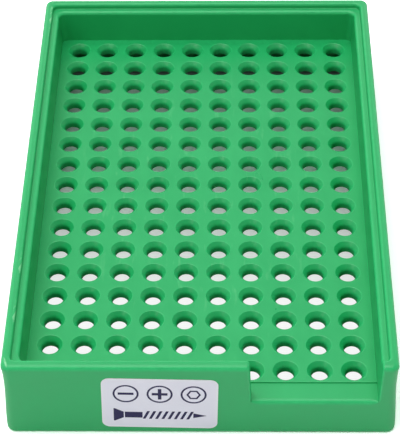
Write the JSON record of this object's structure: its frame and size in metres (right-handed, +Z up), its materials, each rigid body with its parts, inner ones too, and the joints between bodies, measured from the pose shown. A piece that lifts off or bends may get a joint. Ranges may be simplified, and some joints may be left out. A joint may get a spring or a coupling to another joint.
{
  "type": "screw organizer tray",
  "caption": "Shallow rectangular parts tray with a countersunk hole plate that holds screws upright, a stepped rim, a pour notch in the front wall and a label.",
  "frame": {"origin": "middle of the footprint, on the plane of the base", "axes": "+Z up, +Y towards the back, +X to the right of a person at the front; the pour notch and the label are on the front, at -Y"},
  "size_m": [0.1004, 0.1532, 0.0247],
  "materials": {
    "frame_plastic": "satin moulded green plastic",
    "plate_plastic": "satin moulded green plastic",
    "label_film": "satin white self-adhesive label with dark blue marks"
  },
  "bodies": {
    "root": {"tray_frame": "frame_plastic", "hole_plate": "plate_plastic", "size_label": "label_film"}
  },
  "joints": []
}
